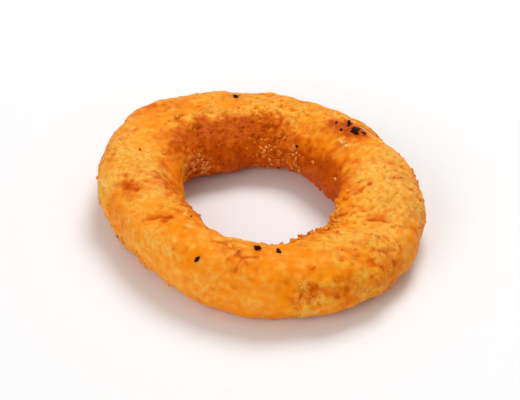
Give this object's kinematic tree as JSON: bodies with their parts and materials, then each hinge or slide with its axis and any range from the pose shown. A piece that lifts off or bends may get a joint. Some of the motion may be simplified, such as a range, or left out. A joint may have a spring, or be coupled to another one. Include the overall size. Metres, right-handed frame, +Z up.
{
  "type": "onion ring",
  "caption": "Deep-fried onion ring: a thick, uneven crumbed limb round an open hole, for a plate, basket or heap of fried food.",
  "frame": {"origin": "middle of the ring's underside, on the surface it rests on", "axes": "+X to the right of the shown side, -Y to the front, +Z up out of the ring's plane"},
  "size_m": [0.0674, 0.0708, 0.0141],
  "materials": {
    "crust": "golden-orange fried crumb crust, slightly oily"
  },
  "bodies": {
    "root": {"onion_ring": "crust"}
  },
  "joints": []
}
